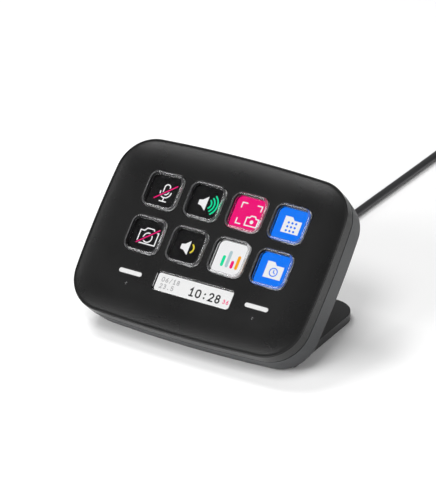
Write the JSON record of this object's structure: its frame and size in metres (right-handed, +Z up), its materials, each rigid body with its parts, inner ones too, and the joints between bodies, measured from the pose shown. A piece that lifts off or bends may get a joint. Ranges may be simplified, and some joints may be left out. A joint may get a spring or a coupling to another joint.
{
  "type": "desk keypad with screen keys",
  "caption": "Tilted desk keypad: clear push keys over one screen, a small clock window, touch points under light bars, a desk foot and an attached cable with its plug.",
  "frame": {"origin": "on the desk, midway across and midway between the face's front edge and the foot's rear end, the free cable left out", "axes": "+X to the user's right, +Y away from the user, +Z up"},
  "size_m": [0.1608, 0.2947, 0.067],
  "materials": {
    "front_shell": "fine mould texture, dark grey",
    "rear_shell": "fine mould texture, dark grey",
    "clear_key": "clear and polished",
    "spring_ring": "black silicone",
    "film": "black printed film",
    "screen_glass": "dark screen glass",
    "display_window": "clear and polished",
    "light_pipe": "milky white, lit",
    "lamp": "small white lamps",
    "board": "green circuit board",
    "chip": "black moulded chip",
    "socket": "off-white connector",
    "tray": "black moulded frame",
    "touch_foam": "conductive foam",
    "screw": "zinc plated",
    "foot": "fine mould texture, dark grey",
    "foot_rubber": "soft black rubber",
    "cable": "smooth black jacket",
    "plug_grip": "black moulded grip",
    "plug_metal": "bright steel"
  },
  "bodies": {
    "housing": {"front_housing": "front_shell", "rear_housing": "rear_shell", "contact_film": "film", "key_screen": "screen_glass", "info_lens": "display_window", "info_display": "screen_glass", "light_bar_left": "light_pipe", "light_bar_right": "light_pipe", "bar_leds": "lamp", "side_board_left": "board", "side_board_right": "board", "touch_pad_left": "touch_foam", "touch_pad_right": "touch_foam", "screen_tray": "tray", "main_board": "board", "controller_chip": "chip", "memory_chip": "chip", "cable_socket": "socket", "inner_lead": "cable", "tray_screws": "screw", "board_screws": "screw", "housing_screws": "screw", "foot_screws": "screw", "foot": "foot", "foot_pad": "foot_rubber", "cable_gland": "cable", "cable_run": "cable", "cable_coil": "cable", "cable_tail": "cable", "plug_grip": "plug_grip", "plug_shell": "plug_metal"},
    "key_1": {"key_cap_1": "clear_key", "key_ring_1": "spring_ring"},
    "key_2": {"key_cap_2": "clear_key", "key_ring_2": "spring_ring"},
    "key_3": {"key_cap_3": "clear_key", "key_ring_3": "spring_ring"},
    "key_4": {"key_cap_4": "clear_key", "key_ring_4": "spring_ring"},
    "key_5": {"key_cap_5": "clear_key", "key_ring_5": "spring_ring"},
    "key_6": {"key_cap_6": "clear_key", "key_ring_6": "spring_ring"},
    "key_7": {"key_cap_7": "clear_key", "key_ring_7": "spring_ring"},
    "key_8": {"key_cap_8": "clear_key", "key_ring_8": "spring_ring"}
  },
  "joints": [
    {"name": "key_1_press", "type": "slide", "parent": "housing", "child": "key_1", "axis": [0, 0.7071, -0.7071], "range_m": [0, 0.0008], "stiffness_N_per_m": 700},
    {"name": "key_2_press", "type": "slide", "parent": "housing", "child": "key_2", "axis": [0, 0.7071, -0.7071], "range_m": [0, 0.0008], "stiffness_N_per_m": 700},
    {"name": "key_3_press", "type": "slide", "parent": "housing", "child": "key_3", "axis": [0, 0.7071, -0.7071], "range_m": [0, 0.0008], "stiffness_N_per_m": 700},
    {"name": "key_4_press", "type": "slide", "parent": "housing", "child": "key_4", "axis": [0, 0.7071, -0.7071], "range_m": [0, 0.0008], "stiffness_N_per_m": 700},
    {"name": "key_5_press", "type": "slide", "parent": "housing", "child": "key_5", "axis": [0, 0.7071, -0.7071], "range_m": [0, 0.0008], "stiffness_N_per_m": 700},
    {"name": "key_6_press", "type": "slide", "parent": "housing", "child": "key_6", "axis": [0, 0.7071, -0.7071], "range_m": [0, 0.0008], "stiffness_N_per_m": 700},
    {"name": "key_7_press", "type": "slide", "parent": "housing", "child": "key_7", "axis": [0, 0.7071, -0.7071], "range_m": [0, 0.0008], "stiffness_N_per_m": 700},
    {"name": "key_8_press", "type": "slide", "parent": "housing", "child": "key_8", "axis": [0, 0.7071, -0.7071], "range_m": [0, 0.0008], "stiffness_N_per_m": 700}
  ]
}
